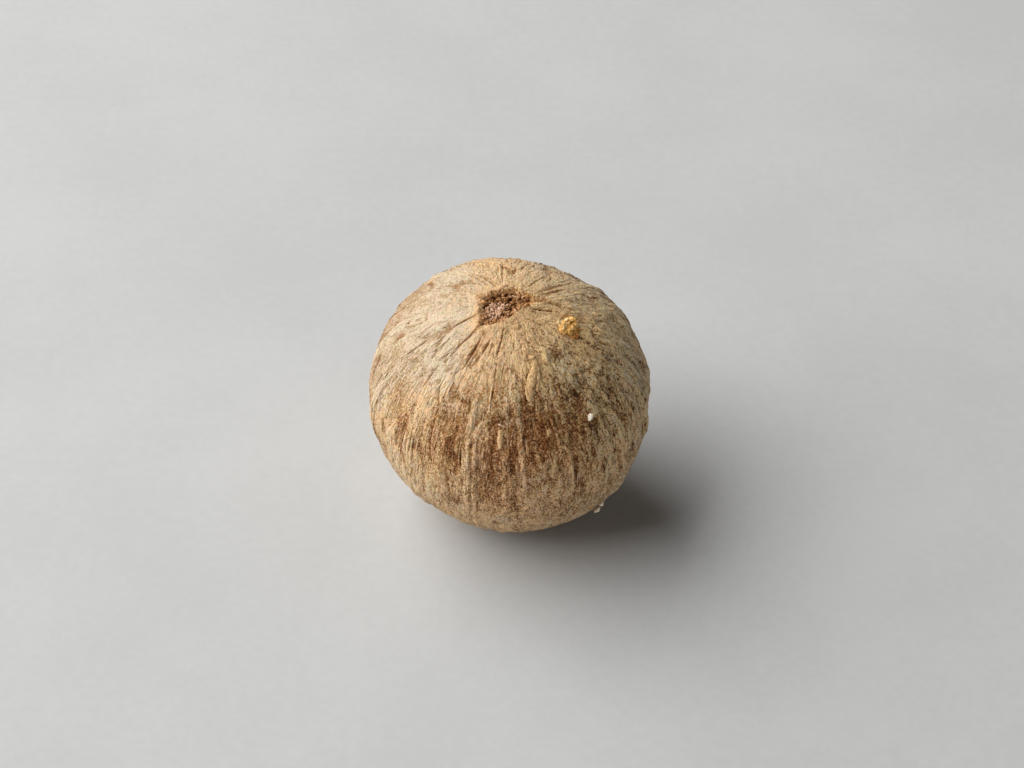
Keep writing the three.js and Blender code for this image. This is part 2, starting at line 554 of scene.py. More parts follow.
def along_fibres(bearing, polar, count, stretch, converge):
    """Places in which a noise has count cells round the waist, stretched so many times down the seed.

    They lie on a tube as wide as sin(polar) to the power converge: at 0 the fibres stay as many and
    crowd together at the apex, and at 1 they keep their width. Below the shoulder they get shorter, by a
    square of the polar angle beyond it.
    """
    around, down = np.radians(bearing), np.radians(polar)
    reach = down + 0.9 * np.clip(down - 1.2, 0, None) ** 2
    cells = count / (2 * math.pi)
    girth = cells * np.sin(np.clip(down, 0, math.pi)) ** converge
    return np.stack([girth * np.sin(around), girth * np.cos(around), cells * reach / stretch], -1)


def texture(bearing, polar, name):
    """One of the NOISES at places on the skin."""
    *shape, seed, layers = NOISES[name]
    places = along_fibres(bearing, polar, *shape)
    return fractal_noise(places, seed, layers) if layers > 1 else lattice_noise(places, seed)


def seed_space(points):
    """Points round the seed's waist, in mm, leaned over and set on the resting surface, in metres.

    What would lie below that surface is pressed flat against it.
    """
    lean = math.radians(LEAN)
    x, y, z = points[..., 0], points[..., 1], points[..., 2]
    leaned_y = y * math.cos(lean) - z * math.sin(lean)
    leaned_z = np.maximum(y * math.sin(lean) + z * math.cos(lean) + REST_HEIGHT, 0)
    return np.stack([x, leaned_y, leaned_z], -1) * MM + np.array(MIDDLE)


# ---------------------------------------------------------------- meshes

def closed_faces(rings, columns):
    """Faces of a closed skin, which has a pole, rings of points from there down and another pole.

    Returns the faces as lists of points, and the place of each corner on a map of columns by rings.
    """
    grids = np.meshgrid(np.arange(rings - 1), np.arange(columns), indexing="ij")
    row, column = (grid.ravel() for grid in grids)
    after = (column + 1) % columns
    upper, lower = 1 + row * columns, 1 + (row + 1) * columns
    quads = np.stack([upper + column, lower + column, lower + after, upper + after], -1)
    quad_map = np.stack([column, row + 1, column, row + 2, column + 1, row + 2, column + 1, row + 1], -1)

    turn = np.arange(columns)
    none = 0 * turn
    last = 1 + (rings - 1) * columns
    cap = np.stack([none, 1 + turn, 1 + (turn + 1) % columns], -1)
    foot = np.stack([none + last + columns, last + (turn + 1) % columns, last + turn], -1)
    cap_map = np.stack([turn + 0.5, none, turn, none + 1, turn + 1, none + 1], -1)
    foot_map = np.stack([turn + 0.5, none + rings + 1, turn + 1, none + rings, turn, none + rings], -1)
    places = np.concatenate([part.reshape(-1, 2) for part in (quad_map, cap_map, foot_map)])
    return [quads, cap, foot], places / (columns, rings + 1)


def add_skins(name, points, material, attributes, smooth=True, map_name=None):
    """Adds a mesh of one or more closed skins. points has the axes skin, row, column and x, y, z.

    The first and last row of each skin are its poles, so only their first point is used.
    attributes are named values with the axes skin, row and column.
    """
    skins, rows, columns = points.shape[:3]

    def joined(values):
        """One row of values for each point of the mesh, in the order pole, rings, pole."""
        width = values.shape[3:]
        parts = [values[:, :1, 0], values[:, 1:-1].reshape(skins, -1, *width), values[:, -1:, 0]]
        return np.concatenate(parts, 1).reshape(-1, *width)

    faces, places = closed_faces(rows - 2, columns)
    offsets = np.arange(skins)[:, None, None] * (2 + (rows - 2) * columns)
    face_lists = [face for part in faces for face in (part + offsets).reshape(-1, part.shape[1]).tolist()]
    mesh = bpy.data.meshes.new(name)
    mesh.from_pydata(joined(points).tolist(), [], face_lists)
    mesh.polygons.foreach_set("use_smooth", [smooth] * len(mesh.polygons))
    for key, values in attributes.items():
        kind, field = ("FLOAT_VECTOR", "vector") if values.ndim == 4 else ("FLOAT", "value")
        attribute = mesh.attributes.new(key, kind, "POINT")
        attribute.data.foreach_set(field, joined(values).astype(np.float32).ravel())
    if map_name:
        mesh.uv_layers.new(name=map_name).data.foreach_set("uv", (places * (1, -1) + (0, 1)).ravel())
    mesh.materials.append(material)
    mesh.update()
    made = bpy.data.objects.new(name, mesh)
    bpy.context.scene.collection.objects.link(made)
    return made


# ---------------------------------------------------------------- the seed's surface

def body_radius(bearing, polar):
    """Two half ellipsoids that meet at the waist, plus a bell-shaped rise or dip at each lobe, in mm."""
    towards = direction(bearing, polar)
    end = np.where(towards[..., 2] > 0, APEX_HEIGHT, TAIL_HEIGHT)
    across = np.hypot(towards[..., 0], towards[..., 1]) / WAIST_RADIUS
    radius = 1 / np.hypot(across, towards[..., 2] / end)
    for lobe_bearing, lobe_polar, spread, rise in LOBES:
        nearness = towards @ direction(lobe_bearing, lobe_polar)
        radius = radius + rise * np.exp((nearness - 1) / (1 - math.cos(math.radians(spread))))
    return radius


def distance_to_line(bearing, polar, start, end):
    """Distance in mm from each point to the line on the skin between two (bearing, polar) places,
    and how far along it that is, from 0 to 1."""
    girth = np.sin(np.radians(np.clip(polar, 3, 177))) * WAIST_RADIUS
    span = end[1] - start[1]
    if abs(span) < 4:  # a line that runs round the seed
        share = np.clip(((bearing - start[0] + 540) % 360 - 180) / (end[0] - start[0]), 0, 1)
    else:
        share = np.clip((polar - start[1]) / span, 0, 1)
    down = WAIST_RADIUS * np.radians(polar - (start[1] + share * span))
    across = np.radians(turn_between(bearing, start[0] + share * (end[0] - start[0]))) * girth
    return np.hypot(down, across), share


def rib_course(rib, half_width, drift, polar):
    """The bearing of a rib's middle and its half-width, both in degrees, at each polar angle."""
    widened = half_width / np.sqrt(np.clip(np.sin(np.radians(polar)), 0.2, 1))
    return rib + drift * (polar - 60) / 60, widened


def rib_cover(bearing, polar):
    """Height of the ribs in mm, how fully each point lies on one and how near it is to a rib's foot."""
    height, cover, foot = 0 * polar, 0 * polar, 0 * polar
    for rib, begin, end, rise, half_width, drift in RIBS:
        middle, widened = rib_course(rib, half_width, drift, polar)
        reach = smoothstep(polar, begin - 8, begin + 10) * (1 - smoothstep(polar, end - 14, end + 14))
        away = turn_between(bearing, middle) / widened
        height = np.maximum(height, rise * bell(away, 1) * reach)
        cover = np.maximum(cover, bell(away, 1) * reach)
        foot = np.maximum(foot, bell(away - 1.25, 0.3) * reach)
    broken = 0.65 + 0.35 * texture(bearing, polar, "broken ribs")
    return height * broken, cover * broken, foot * broken


def back_zones():
    """Worn zones at chance places round the back, fainter beside the flanks, like WORN_ZONES."""
    chance = np.random.default_rng(BACK_ZONE_SEED)
    zones = []
    for bearing in BACK_ZONE_BEARINGS:
        moved = bearing + chance.uniform(-4, 4)
        polar = chance.uniform(58, 84)
        half_width = chance.uniform(4, 9)
        half_length = chance.uniform(11, 22)
        strength = chance.uniform(0.35, 0.90) * (0.5 if abs(bearing - 175) > 55 else 1.0)
        zones.append((moved, polar, half_width, half_length, strength))
    return zones


def wear(bearing, polar):
    """How far the pale coat has worn off, from about 0 to 1.

    A belt below the shoulder, thinner and thicker in clouds, with soft-edged zones between the ribs.
    """
    belt = smoothstep(polar, 36, 58) * (1 - smoothstep(polar, 88, 122))
    clouds = 0.5 + 0.5 * texture(bearing, polar, "wear clouds")
    worn = 0.10 + 0.12 * smoothstep(polar, 20, 70) + belt * (0.02 + 0.16 * clouds)
    for zone, middle, half_width, half_length, strength in WORN_ZONES + back_zones():
        across = turn_between(bearing, zone) / half_width
        along = (polar - middle) / half_length
        worn = np.maximum(worn, strength * np.exp(-((across**2 + along**2) ** 1.2)))
    for zone, middle, half_width, half_length, strength in KEPT_ZONES:
        away = np.hypot(turn_between(bearing, zone) / half_width, (polar - middle) / half_length)
        worn = worn - strength * bell(away, 1)
    return worn


def near_spots(bearing, polar, spots):
    """The sum of a bell at each spot, given as bearing, polar angle, spread in degrees and amount."""
    towards = direction(bearing, polar)
    total = 0
    for spot_bearing, spot_polar, spread, amount in spots:
        away = np.degrees(np.arccos(np.clip(towards @ direction(spot_bearing, spot_polar), -1, 1)))
        total = total + amount * bell(away, spread)
    return total


def tint(bearing, polar):
    """Hue of the skin from 0, grey, to 1, orange: a cloudy noise and a bell at each tinted spot."""
    clouds = texture(bearing, polar, "tint")
    return np.clip(0.55 + 0.30 * clouds + near_spots(bearing, polar, TINTS), 0, 1)


def laid_flat(bearing, polar):
    """Places in mm to the right and to the back of the apex, on the skin laid flat round it."""
    reach = APEX_HEIGHT * np.radians(polar)
    return reach * np.sin(np.radians(bearing)), -reach * np.cos(np.radians(bearing))


def scar_distance(bearing, polar):
    """Distance in mm outside the scar's outline, below 0 inside it, on the skin laid flat."""
    right, back = laid_flat(bearing, polar)
    nearest = np.full_like(right, math.inf)
    for outline in SCAR_OUTLINES:
        farthest = np.full_like(right, -math.inf)
        for (x, y), (next_x, next_y) in zip(outline, outline[1:] + outline[:1]):
            side = math.hypot(next_x - x, next_y - y)
            beyond = ((y - next_y) * (right - x) + (next_x - x) * (back - y)) / side
            farthest = np.maximum(farthest, beyond)
        nearest = np.minimum(nearest, farthest)
    return nearest


def scar_shape(bearing, polar):
    """Distance in mm outside the scar's crumbled edge, and how far each point is in its pit and on its
    lip."""
    outside = scar_distance(bearing, polar) + 0.075 * texture(bearing, polar, "scar edge")
    pit = 1 - smoothstep(outside, -0.07, 0.04)
    return outside, pit, bell(outside - 0.07, 0.08) * (1 - pit)


def fibre_wander(bearing, polar):
    """How many degrees the fibres stray round the seed, a little broadly and a little finely."""
    return 2.6 * texture(bearing, polar, "broad wander") + 1.2 * texture(bearing, polar, "fine wander")


def fibre_gaps(bearing, polar, fibre):
    """How open the gaps between fibres are: where a noise drawn out along them crosses 0, in clumps."""
    gaps = 1 - smoothstep(np.abs(texture(fibre, polar, "gaps")), 0.03, 0.22)
    gaps = gaps * smoothstep(texture(bearing, polar, "gap clumps"), -0.25, 0.35)
    return gaps * smoothstep(polar, 10, 26) * (1 - smoothstep(polar, 88, 108))


def crease_depth(bearing, polar):
    """Depth of the creases in mm: a bell across each one, which fades out at both ends."""
    crease = 0 * polar
    for start, end, depth, half_width in CREASES:
        distance, share = distance_to_line(bearing, polar, start, end)
        fading = 0.35 + 0.65 * np.sin(math.pi * share) ** 0.5
        crease = np.maximum(crease, depth * bell(distance, half_width) * fading)
    return crease


def seed_grid():
    """Bearings and polar angles of the skin's grid, whose rows run from apex to tail."""
    rows = np.linspace(0, 1, RINGS + 2) ** CROWDING * 180
    polar, bearing = np.meshgrid(rows, np.arange(COLUMNS) * 360 / COLUMNS, indexing="ij")
    return bearing, polar


def seed_relief(bearing, polar):
    """The skin's radius in mm, and the named values that its finish reads.

    The radius is the body's, plus ribs, hollows between them, strands, grains, creases, gaps, pores,
    worn zones and the scar's pit and lip.
    """
    settings = bpy.context.scene.peppercorn_seed
    waist = np.sin(np.radians(polar))
    wander = fibre_wander(bearing, polar)
    fibre = bearing + wander

    ribs, on_rib, rib_foot = rib_cover(bearing + 0.5 * wander, polar)
    hollows = HOLLOW_DEPTH * waist**2 * (1 - on_rib)
    gaps = fibre_gaps(bearing, polar, fibre)
    pores = settings.pore_depth / MM * smoothstep(texture(bearing, polar, "pores"), 0.62, 0.9)
    pores = pores * (1 - 0.6 * waist)
    # Rougher towards the right flank, away from the window lamp, and smoother on the lit left: besides the
    # relief, the grain's colour contrast there stands in for relief shading in grazing light, as painted
    # shade.
    rough = 1.05 + 0.30 * waist * np.sin(np.radians(bearing - 15)) + near_spots(bearing, polar, ROUGH_SPOTS)
    stringy = near_spots(bearing, polar, STRINGY_SPOTS)
    ragged = rough * texture(fibre, polar, "ragged wear")
    crease = crease_depth(bearing + 1.3 * wander, polar) * (0.7 + 0.5 * ragged)
    outside, pit, lip = scar_shape(bearing, polar)

    worn = wear(bearing + 1.2 * wander, polar)
    worn = np.clip(worn + 0.30 * ragged * (0.2 + worn) - 0.26 * on_rib * waist, 0, 1)
    worn = np.clip(worn + 0.42 * bell(outside, 0.055) * (0.6 + ragged), 0, 1)

    strands = rough * settings.strand_relief / MM * texture(fibre, polar, "strands")
    strands = strands * (0.45 + 0.55 * waist) * (1 + 0.8 * on_rib + stringy)
    grains = rough * settings.grain_relief / MM * texture(fibre, polar, "grains") * (1 + 0.6 * worn)
    fine = strands + grains - crease - GAP_DEPTH * gaps - pores
    radius = body_radius(bearing, polar) + ribs - hollows - RIB_FOOT_DEPTH * rib_foot
    radius = radius + (1 - pit) * (fine - settings.wear_depth / MM * worn)
    radius = radius + LIP_RISE * lip - pit * (SCAR_DEPTH - RUBBLE_RISE * texture(bearing, polar, "rubble"))

    values = {
        # Relief that the finish reads: it makes raised parts paler and low ones darker, partly as painted
        # light and shade.
        "height": np.clip(0.5 + fine / RELIEF_SPAN, 0, 1),
        "worn": worn,
        "gold": 0 * polar,
        "scar": pit,
        # Darkens the colour in creases, in the gaps between fibres and beside the ribs' feet: partly the
        # skin's own dark and partly painted shade.
        "crease": np.clip(crease / DARK_CREASE + 0.5 * gaps + 0.3 * rib_foot * (ragged > 0), 0, 1),
        "hue": np.clip(tint(bearing, polar) + 0.7 * bell(outside, 0.10), 0, 1),
        "rough": rough,
        "stringy": stringy,
        "flush": near_spots(bearing, polar, FLUSHED_SPOTS),
        "grain_place": along_fibres(fibre, polar, *GRAIN_PLACES),
        "strand_place": along_fibres(fibre, polar, *STRAND_PLACES),
    }
    return radius, values


def seed_skin():
    """The seed's skin as points in metres, with rows from apex to tail, and the values of its finish."""
    bearing, polar = seed_grid()
    radius, values = seed_relief(bearing, polar)
    points = seed_space(direction(bearing, polar) * radius[..., None])
    return points, values


def direction_in_space(bearing, polar):
    """The direction of a bearing and a polar angle, leaned over with the seed."""
    return unit(seed_space(direction(bearing, polar)) - seed_space(np.zeros(3)))


def skin_points(bearing, polar, rise=0.0, ease=0):
    """Points that lie rise millimetres above the skin, in metres.

    ease is how many times each radius is averaged with its neighbours along the last axis, so that a
    path bridges the grains under it.
    """
    radius, _ = seed_relief(bearing, polar)
    for _ in range(ease):
        ends = np.concatenate([radius[:, :1], radius, radius[:, -1:]], 1)
        radius = (ends[:, :-2] + 2 * radius + ends[:, 2:]) / 4
    return seed_space(direction(bearing, polar) * (radius + rise)[..., None])


def upright_frame(bearing, polar):
    """Two directions along the skin and one away from it, at each place."""
    up = direction_in_space(bearing, polar)
    round_seed = unit(np.cross(np.array([0.0, 0.0, 1.0]), up))
    return round_seed, np.cross(up, round_seed), up


# ---------------------------------------------------------------- slivers and lumps

def sliver_skins(path, up, half_width, half_height, columns, taper=0.5):
    """Closed slivers: a flat ring carried along each path, which tapers to a point at both ends.

    path has the axes sliver, step and x, y, z, and up points away from the skin. At a share t of the way
    the ring's width is sin(pi t) to the power taper.
    """
    along = unit(np.gradient(path, axis=1))
    across = unit(np.cross(along, up))
    above = np.cross(across, along)
    swell = np.clip(np.sin(math.pi * np.linspace(0, 1, path.shape[1])), 0, 1) ** taper
    angle = np.arange(columns) * 2 * math.pi / columns
    sideways = across[:, :, None] * np.cos(angle)[:, None] * (half_width * swell)[..., None, None]
    upward = above[:, :, None] * np.sin(angle)[:, None] * (half_height * swell)[..., None, None]
    return with_ends(path[:, :, None] + sideways + upward)


def with_ends(skins):
    """Skins whose first and last rings are drawn together to their middles, as poles."""
    ends = skins[:, [0, -1]].mean(axis=2, keepdims=True) + 0 * skins[:, [0, -1]]
    return np.concatenate([ends[:, :1], skins[:, 1:-1], ends[:, 1:]], 1)


def over_skins(tone, skins):
    """One tone for each skin, repeated at all its points."""
    return tone[:, None, None] + np.zeros(skins.shape[:3])


def lump_skins(centres, sizes, chance, rows=5, columns=6):
    """Closed lumps: balls whose radius is shaken at each point, stretched to sizes and turned at random.

    centres and sizes have the axes lump and x, y, z.
    """
    angles = np.arange(columns) * 2 * math.pi / columns
    down, around = np.meshgrid(np.linspace(0, math.pi, rows), angles, indexing="ij")
    ball = np.stack([np.sin(down) * np.cos(around), np.sin(down) * np.sin(around), np.cos(down)], -1)
    shaken = chance.uniform(0.62, 1.22, (len(centres), rows, columns, 1))
    shaken[:, [0, -1]] = shaken[:, [0, -1], :1]
    axes = np.linalg.qr(chance.normal(size=(len(centres), 3, 3)))[0]
    axes[:, :, 0] *= np.sign(np.linalg.det(axes))[:, None]
    shaped = ball * shaken * sizes[:, None, None]
    return centres[:, None, None] + np.einsum("nij,nrcj->nrci", axes, shaped)


def strand_skins(bearing, polar, half_width, half_height, rise, ease, columns, taper=0.5):
    """Closed strands along paths over the skin, and the named values that the skin's finish reads there.

    The sizes are in mm. A strand's values are those of the skin beside it, less worn, and with painted
    light
    and shade: its top raised, so that the finish makes it paler, and its underside darkened.
    """
    path = skin_points(bearing, polar, rise, ease)
    up = direction_in_space(bearing, polar)
    skins = sliver_skins(path, up, half_width * MM, half_height * MM, columns, taper)
    angle = np.arange(columns) * 2 * math.pi / columns
    girth = np.sin(np.radians(np.clip(polar, 5, 175))) * WAIST_RADIUS
    aside = -np.degrees(half_width / girth)[..., None] * np.cos(angle)
    _, values = seed_relief(bearing[..., None] + aside, polar[..., None] + 0 * aside)
    # Painted light: the strand's top is raised, so the finish makes it paler.
    values["height"] = 0.50 + 0.16 * np.sin(angle) + 0 * aside
    values["worn"] = 0.8 * values["worn"]
    # Painted shade: the strand's underside is darkened.
    values["crease"] = 0.35 * np.clip(-np.sin(angle), 0, 1) + 0 * aside
    values["scar"] = 0 * aside
    return skins, values


def coat_fibres():
    """Fibres that lie along the coat's own strands, and the values of their finish."""
    chosen = bpy.context.scene.peppercorn_fibres
    chance = np.random.default_rng(FIBRE_SEED)
    count = chosen.count
    start = np.degrees(np.arccos(chance.uniform(-0.68, 0.955, count)))[:, None]
    bearing = chance.uniform(0, 360, (count, 1))
    reach = np.degrees(chance.uniform(0.2, 1.0, (count, 1)) ** 1.5 * chosen.longest / MM / WAIST_RADIUS)
    share = np.linspace(0, 1, 8)
    polar = start + reach * share
    lean = chance.normal(0, 0.5, (count, 1)) / np.sin(np.radians(start))
    bow = chance.normal(0, 0.35, (count, 1)) / np.sin(np.radians(start)) * np.sin(math.pi * share)
    bearing = bearing - fibre_wander(bearing + 0 * polar, polar) + lean * share + bow
    half_width = chance.uniform(0.22, 0.5, (count, 1)) * chosen.width / MM
    half_height = half_width * chance.uniform(0.4, 0.7, (count, 1))
    return strand_skins(bearing, polar, half_width, half_height, 0.001, ease=4, columns=5)


def rib_strands():
    """Strands that run side by side along each rib, and the values of their finish."""
    chosen = bpy.context.scene.peppercorn_fibres
    chance = np.random.default_rng(RIB_STRAND_SEED)
    bearings, polars, widths = [], [], []
    share = np.linspace(0, 1, 100)
    for rib, begin, end, _, half_width, drift in RIBS:
        for place in np.linspace(-1, 1, chosen.rib_strands):
            first = begin + chance.uniform(-4, 14)
            last = end - chance.uniform(0, 22)
            polar = first + (last - first) * share
            middle, widened = rib_course(rib, half_width, drift, polar)
            bearing = middle + widened * 0.62 * (place + chance.uniform(-0.15, 0.15))
            ripple = lattice_noise(np.stack([polar / 14, 0 * polar + rib, 0 * polar + 3 * place], -1), 58)
            ragged = fractal_noise(np.stack([polar / 6, 0 * polar + rib, 0 * polar + 5 * place], -1), 59, 3)
            bearings.append(bearing - 0.5 * fibre_wander(bearing, polar) + 0.45 * ripple)
            polars.append(polar)
            widths.append(chosen.strand_width / MM / 2 * (0.85 + 0.50 * ragged) * chance.uniform(0.7, 1.1))
    bearing, polar, half_width = np.array(bearings), np.array(polars), np.array(widths)
    sunk = 0.016 * fractal_noise(np.stack([polar / 7, bearing / 2, 0 * polar], -1), 60, 3) - 0.006
    return strand_skins(bearing, polar, half_width, 0.5 * half_width, sunk, ease=10, columns=8)


def gold_strands():
    """The strands of dried resin, and the values of their finish."""
    share = np.linspace(0, 1, 30)
    bearings, polars, widths, heights = [], [], [], []
    for place, (through, half_width, height, _) in enumerate(GOLD_STRANDS):
        knots = np.linspace(0, 1, len(through))
        lumpy = 1 + 0.55 * fractal_noise(np.stack([share * 8, 0 * share + 3 * place, 0 * share], -1), 86, 3)
        bearings.append(np.interp(share, knots, [bearing for bearing, _ in through]))
        polars.append(np.interp(share, knots, [polar for _, polar in through]))
        widths.append(half_width * lumpy)
        heights.append(height * lumpy)
    bearing, polar, half_width, height = (np.array(part) for part in (bearings, polars, widths, heights))
    skins, values = strand_skins(bearing, polar, half_width, height, -0.004, ease=7, columns=12, taper=0.36)
    golden = np.array([gold for _, _, _, gold in GOLD_STRANDS])
    values["gold"] = over_skins(golden, skins)
    values["worn"] = 0.4 * values["worn"]
    return skins, values


def scar_places(count, chance):
    """Random places in the scar and on its rim: bearing, polar angle, and distance outside its outline."""
    bearing = chance.uniform(0, 360, (60 * count, 1))
    polar = 15 * np.sqrt(chance.uniform(0, 1, (60 * count, 1)))
    outside = scar_distance(bearing, polar)
    inside = (outside < chance.normal(-0.005, 0.035, outside.shape))[:, 0]
    return bearing[inside][:count], polar[inside][:count], outside[inside][:count]


def scar_tone(bearing, polar, level, outside, chance):
    """Tone and rust of what lies in the scar: paler the higher it lies, as painted light; pink and pale to
    the left of its middle; darker in the hollow to the right and along the back, as painted shade; and
    rusty round the rim."""
    right, back = laid_flat(bearing, polar)
    pink = bell(np.hypot((right + 0.20) / 1.5, back + 0.03), 0.17)
    hollow = bell(np.hypot(right - 0.10, back - 0.05), 0.13)
    hollow = hollow + bell(np.hypot((right + 0.22) / 2.4, back - 0.24), 0.07)
    # Painted light and shade: paler the higher a piece lies, darker in the hollow.
    tone = 0.34 + 0.26 * level + 0.34 * pink - 0.34 * hollow + chance.normal(0, 0.18, level.shape)
    rust = bell(outside, 0.07) * chance.uniform(0.2, 1.0, level.shape) + smoothstep(right, 0.22, 0.42)
    return np.clip(tone + 0.15 * rust, 0, 1)[:, 0], np.clip(rust, 0, 1)[:, 0]


def depth_in_scar(outside):
    """How fully a place lies in the scar, from 0.1 at its rim and outside to 1 from 0.08 mm inside."""
    return np.clip(-outside / 0.08, 0.1, 1)


def scar_shreds(chosen, chance):
    """Bent shreds heaped in the scar's pit: their skins, tone and rust."""
    bearing, polar, outside = scar_places(chosen.shreds, chance)
    shape = bearing.shape
    level = chance.uniform(0, 1, shape)
    first, second, up = upright_frame(bearing, polar)
    base = skin_points(bearing, polar, 0.055 * level * depth_in_scar(outside))
    heading = chance.uniform(0, 2 * math.pi, shape)[..., None]
    along = first * np.cos(heading) + second * np.sin(heading)
    reach = chance.uniform(0.25, 1.0, shape)[..., None] * chosen.longest
    share = np.linspace(-0.5, 0.5, 7)[None, :, None]
    arch = chance.uniform(-0.25, 0.5, shape)[..., None] * (0.25 - share**2)
    tilt = chance.normal(0, 0.22, shape)[..., None] * share
    curl = chance.uniform(-0.7, 0.7, shape)[..., None] * (0.25 - share**2)
    path = base + reach * (along * share + np.cross(up, along) * curl + up * (arch + tilt))
    half_width = chance.uniform(0.18, 0.5, shape) * chosen.width
    skins = sliver_skins(path, up + 0 * path, half_width, 0.6 * half_width, columns=6)
    return skins, *scar_tone(bearing, polar, level, outside, chance)


def scar_bits(chosen, chance):
    """Crumbly bits among the shreds, smaller towards the rim: their skins, tone and rust."""
    bearing, polar, outside = scar_places(chosen.bits, chance)
    level = chance.uniform(0, 1, bearing.shape)
    depth = depth_in_scar(outside)
    centres = skin_points(bearing, polar, 0.050 * level * depth)[:, 0]
    shapes = chance.uniform(0.6, 1.0, (len(centres), 3))
    sizes = shapes * chance.uniform(0.12, 0.52, (len(centres), 1)) * chosen.width * (0.55 + 0.45 * depth)
    skins = lump_skins(centres, sizes, chance, rows=7)
    return skins, *scar_tone(bearing, polar, level, outside, chance)


def scar_rubble():
    """All that fills the scar's pit: skins, tone and rust."""
    chosen = bpy.context.scene.peppercorn_scar
    chance = np.random.default_rng(SCAR_SEED)
    shreds, bits = scar_shreds(chosen, chance), scar_bits(chosen, chance)
    return [np.concatenate(pair) for pair in zip(shreds, bits)]


def crumb_lumps(place, rise, half_sizes, lumps, lump_size, chance):
    """Lumps heaped in a low dome on the skin: a random place in an ellipse, at a random height under the
    dome. Returns their skins and their heights, from 0 to 1."""
    bearing, polar = (np.full((lumps, 1), float(part)) for part in place)
    first, second, up = (part[:, 0] for part in upright_frame(bearing, polar))
    base = skin_points(bearing, polar, rise)[:, 0]
    turn = chance.uniform(0, 2 * math.pi, lumps)
    away = np.sqrt(chance.uniform(0, 1, lumps)) * (0.85 + 0.2 * np.sin(3 * turn + 1.0))
    height = np.sqrt(1 - 0.9 * np.minimum(away, 1) ** 2) * chance.uniform(0, 1, lumps)
    across, along = away * np.cos(turn) * half_sizes[0], away * np.sin(turn) * half_sizes[1]
    centres = base + first * across[:, None] + second * along[:, None]
    centres = centres + up * (height * half_sizes[2])[:, None]
    sizes = chance.uniform(0.7, 1.0, (lumps, 3)) * chance.uniform(0.45, 1.1, (lumps, 1)) * lump_size
    return lump_skins(centres, sizes, chance), height


def amber_heaps(lump_size, chance):
    """The amber crumb's lumps and their tone: painted light makes them paler high up and on the side
    towards the light.
    """
    heaps, tones = [], []
    for bearing, polar, rise, width, long, height, lumps, brighter in AMBER_HEAPS:
        sizes = (width * MM, long * MM, height * MM)
        skins, level = crumb_lumps((bearing, polar), rise, sizes, lumps, lump_size, chance)
        away = skins.mean(axis=(1, 2)) - skins.mean(axis=(0, 1, 2))
        towards_light = away @ (-0.5, 0.6, 0.6) / (width * MM)
        heaps.append(skins)
        # Painted light: paler higher in the heap and on the side towards the light.
        tones.append(0.40 + 0.26 * level + 0.10 * towards_light + brighter + chance.normal(0, 0.19, lumps))
    return np.concatenate(heaps), np.clip(np.concatenate(tones), 0, 1)


def pale_heaps(chance):
    """The lumps of the pale crumbs and their tone: paler higher in each heap, as painted light, and shifted
    by each crumb's own amount.
    """
    heaps, tones = [], []
    for bearing, polar, rise, width, long, lumps, brighter in PALE_CRUMBS:
        sizes = (width * MM, long * MM, min(width, long) * MM)
        skins, level = crumb_lumps((bearing, polar), rise, sizes, lumps, 0.35 * (width + long) * MM, chance)
        heaps.append(skins)
        # Painted light: a lump is paler the higher it lies in its heap.
        tones.append(level + brighter)
    return np.concatenate(heaps), np.concatenate(tones)


# ---------------------------------------------------------------- finishes

